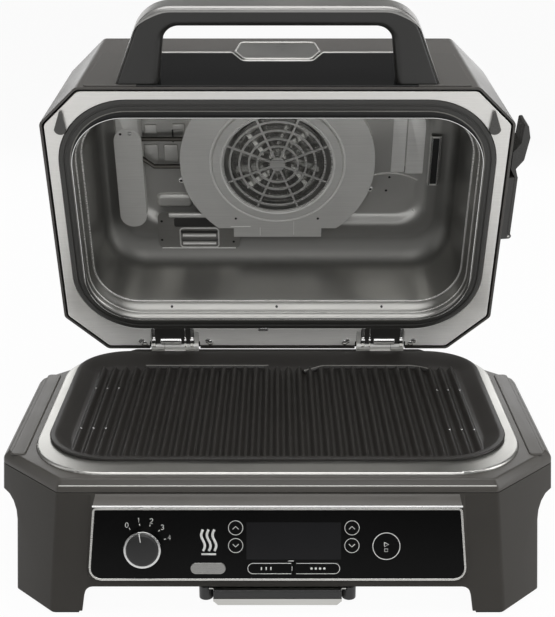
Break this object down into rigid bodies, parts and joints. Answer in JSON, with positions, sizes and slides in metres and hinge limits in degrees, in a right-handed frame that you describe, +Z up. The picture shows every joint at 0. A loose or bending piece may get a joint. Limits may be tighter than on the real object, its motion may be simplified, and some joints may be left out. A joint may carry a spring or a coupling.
{
  "type": "electric outdoor grill",
  "caption": "Countertop electric grill with a ribbed plate, a hinged lid with an inner fan, a control panel with dial and keys, a side smoke box and a front grease tray.",
  "frame": {"origin": "on the ground below the middle of the grill with its lid open", "axes": "+Z up, -Y towards the control panel at the front, +X to the right of a user at the front"},
  "size_m": [0.6148, 0.5817, 0.6146],
  "materials": {
    "housing_plastic": "satin moulded charcoal",
    "deck_plastic": "satin moulded charcoal",
    "lid_paint": "satin charcoal",
    "black_plastic": "satin black",
    "gloss_black": "gloss black",
    "key_black": "semi-gloss black",
    "silver_plastic": "silver paint",
    "window": "smoked window",
    "board": "solder mask",
    "rubber": "moulded",
    "silicone": "moulded grey silicone",
    "steel": "satin",
    "liner_steel": "bright rolled",
    "trim_steel": "satin",
    "zinc_steel": "dull coated",
    "heater_tube": "heat tinted",
    "nonstick": "black non-stick coating",
    "chrome": "polished",
    "handle_plastic": "satin black",
    "strip_metal": "satin",
    "badge_metal": "satin"
  },
  "bodies": {
    "base": {"base_housing": "housing_plastic", "deck_cover": "deck_plastic", "bottom_pan": "zinc_steel", "foot_pads": "rubber", "cord_gland": "rubber", "inner_pot": "zinc_steel", "base_heater": "heater_tube", "trim_ring": "steel", "grill_plate": "nonstick", "control_panel": "gloss_black", "panel_bezel": "silver_plastic", "display_window": "window", "control_board": "board", "tray_runners": "black_plastic", "hinge_base_leaves": "steel", "hinge_pins": "chrome"},
    "tray": {"grease_tray": "steel", "tray_front": "black_plastic"},
    "lid": {"lid_shell": "lid_paint", "lid_trim_frame": "trim_steel", "lid_gasket": "silicone", "lid_liner": "liner_steel", "fan_shroud": "steel", "fan_guard": "chrome", "fan_motor": "zinc_steel", "top_heater": "heater_tube", "terminal_cover": "liner_steel", "vent_plate": "steel", "smoke_baffle": "steel", "lid_front_panel": "gloss_black", "badge_plate": "badge_metal", "handle": "handle_plastic", "handle_strip": "strip_metal", "bumpers": "rubber", "hinge_lid_leaves": "steel", "hinge_screws": "chrome", "smoke_box_housing": "black_plastic", "pellet_box": "steel", "cover_pin": "steel"},
    "fan": {"fan_wheel": "steel"},
    "smoke_cover": {"smoke_box_cover": "black_plastic"},
    "dial_knob": {"dial": "black_plastic", "dial_ring": "chrome"},
    "start_key": {"start_key": "key_black"},
    "left_up_key": {"left_up_key": "key_black"},
    "left_down_key": {"left_down_key": "key_black"},
    "right_up_key": {"right_up_key": "key_black"},
    "right_down_key": {"right_down_key": "key_black"},
    "smoke_key": {"smoke_key": "silver_plastic"},
    "mode_left_key": {"mode_left_key": "key_black"},
    "mode_right_key": {"mode_right_key": "key_black"}
  },
  "joints": [
    {"name": "lid_hinge", "type": "hinge", "parent": "base", "child": "lid", "pos_m": [0, 0.13214, 0.148], "axis": [1, 0, 0], "range_deg": [0, 72]},
    {"name": "tray_slide", "type": "slide", "parent": "base", "child": "tray", "axis": [0, -1, 0], "range_m": [0, 0.17]},
    {"name": "fan_spin", "type": "hinge", "parent": "lid", "child": "fan", "pos_m": [0, 0.06385, 0.35818], "axis": [0, 0.9511, 0.309], "continuous": true},
    {"name": "smoke_cover_hinge", "type": "hinge", "parent": "lid", "child": "smoke_cover", "pos_m": [0.3002, 0.08318, 0.30464], "axis": [-0.1126, 0.945, 0.3071], "range_deg": [0, 85]},
    {"name": "dial_turn", "type": "hinge", "parent": "base", "child": "dial_knob", "pos_m": [-0.1418, -0.27353, 0.07379], "axis": [0, 0.9668, -0.2554], "range_deg": [-26.5, 79.5]},
    {"name": "start_key_press", "type": "slide", "parent": "base", "child": "start_key", "axis": [0, 0.9668, -0.2554], "range_m": [0, 0.001], "stiffness_N_per_m": 400, "springref_m": -0.001},
    {"name": "left_up_key_press", "type": "slide", "parent": "base", "child": "left_up_key", "axis": [0, 0.9668, -0.2554], "range_m": [0, 0.001], "stiffness_N_per_m": 400, "springref_m": -0.001},
    {"name": "left_down_key_press", "type": "slide", "parent": "base", "child": "left_down_key", "axis": [0, 0.9668, -0.2554], "range_m": [0, 0.001], "stiffness_N_per_m": 400, "springref_m": -0.001},
    {"name": "right_up_key_press", "type": "slide", "parent": "base", "child": "right_up_key", "axis": [0, 0.9668, -0.2554], "range_m": [0, 0.001], "stiffness_N_per_m": 400, "springref_m": -0.001},
    {"name": "right_down_key_press", "type": "slide", "parent": "base", "child": "right_down_key", "axis": [0, 0.9668, -0.2554], "range_m": [0, 0.001], "stiffness_N_per_m": 400, "springref_m": -0.001},
    {"name": "smoke_key_press", "type": "slide", "parent": "base", "child": "smoke_key", "axis": [0, 0.9668, -0.2554], "range_m": [0, 0.001], "stiffness_N_per_m": 400, "springref_m": -0.001},
    {"name": "mode_left_key_press", "type": "slide", "parent": "base", "child": "mode_left_key", "axis": [0, 0.9668, -0.2554], "range_m": [0, 0.001], "stiffness_N_per_m": 400, "springref_m": -0.001},
    {"name": "mode_right_key_press", "type": "slide", "parent": "base", "child": "mode_right_key", "axis": [0, 0.9668, -0.2554], "range_m": [0, 0.001], "stiffness_N_per_m": 400, "springref_m": -0.001}
  ]
}
